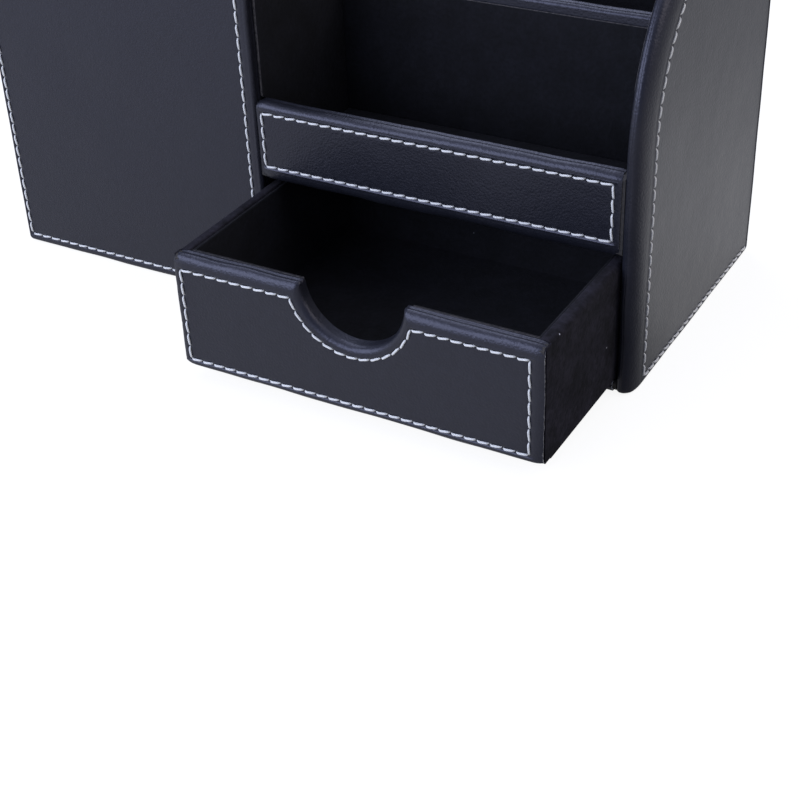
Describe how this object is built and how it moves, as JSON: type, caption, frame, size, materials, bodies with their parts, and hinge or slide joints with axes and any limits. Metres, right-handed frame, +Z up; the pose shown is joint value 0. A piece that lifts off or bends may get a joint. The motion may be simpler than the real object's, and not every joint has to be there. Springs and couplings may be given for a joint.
{
  "type": "desk pen stand with drawer",
  "caption": "Leather-covered desk organizer: a pen tower beside an open bay with a letter slot behind it, over a pull-out drawer with a half-round finger notch.",
  "frame": {"origin": "centre of the case's footprint, on its underside where it rests on the desk", "axes": "+X along the width towards the drawer's side, +Y to the back (the drawer pulls out along -Y), +Z up"},
  "size_m": [0.235, 0.155, 0.14],
  "materials": {
    "black_leather": "satin fine-grained polyurethane leather, black",
    "black_velvet": "short flocked velvet, black",
    "under_felt": "thin pressed felt, black",
    "fibreboard": "black-dyed medium-density fibreboard, sawn edges"
  },
  "bodies": {
    "case": {"base_board": "fibreboard", "left_side_board": "fibreboard", "right_side_board": "fibreboard", "back_board": "fibreboard", "tower_front_board": "fibreboard", "tower_wall_board": "fibreboard", "tower_divider_board": "fibreboard", "bay_floor_board": "fibreboard", "lip_board": "fibreboard", "bay_divider_board": "fibreboard", "left_side_cover": "black_leather", "right_side_cover": "black_leather", "back_cover": "black_leather", "tower_front_cover": "black_leather", "tower_wall_cover": "black_leather", "tower_divider_cover": "black_leather", "lip_cover": "black_leather", "bay_divider_cover": "black_leather", "base_edge_cover": "black_leather", "tower_left_lining": "black_velvet", "tower_right_lining": "black_velvet", "tower_front_lining": "black_velvet", "tower_back_lining": "black_velvet", "front_well_floor_lining": "black_velvet", "rear_well_floor_lining": "black_velvet", "tower_divider_front_lining": "black_velvet", "tower_divider_back_lining": "black_velvet", "bay_left_lining": "black_velvet", "bay_right_lining": "black_velvet", "bay_front_lining": "black_velvet", "bay_floor_lining": "black_velvet", "bay_divider_front_lining": "black_velvet", "bay_divider_back_lining": "black_velvet", "slot_floor_lining": "black_velvet", "bay_back_lining": "black_velvet", "drawer_bay_cloth": "black_velvet", "under_felt": "under_felt"},
    "drawer": {"drawer_front_board": "fibreboard", "drawer_left_board": "fibreboard", "drawer_right_board": "fibreboard", "drawer_back_board": "fibreboard", "drawer_bottom_board": "fibreboard", "drawer_front_cover": "black_leather", "drawer_left_cloth": "black_velvet", "drawer_right_cloth": "black_velvet", "drawer_back_cloth": "black_velvet", "drawer_under_cloth": "black_velvet", "drawer_liner": "black_velvet"}
  },
  "joints": [
    {"name": "drawer_slide", "type": "slide", "parent": "case", "child": "drawer", "axis": [0, -1, 0], "range_m": [-0.05, 0.04]}
  ]
}
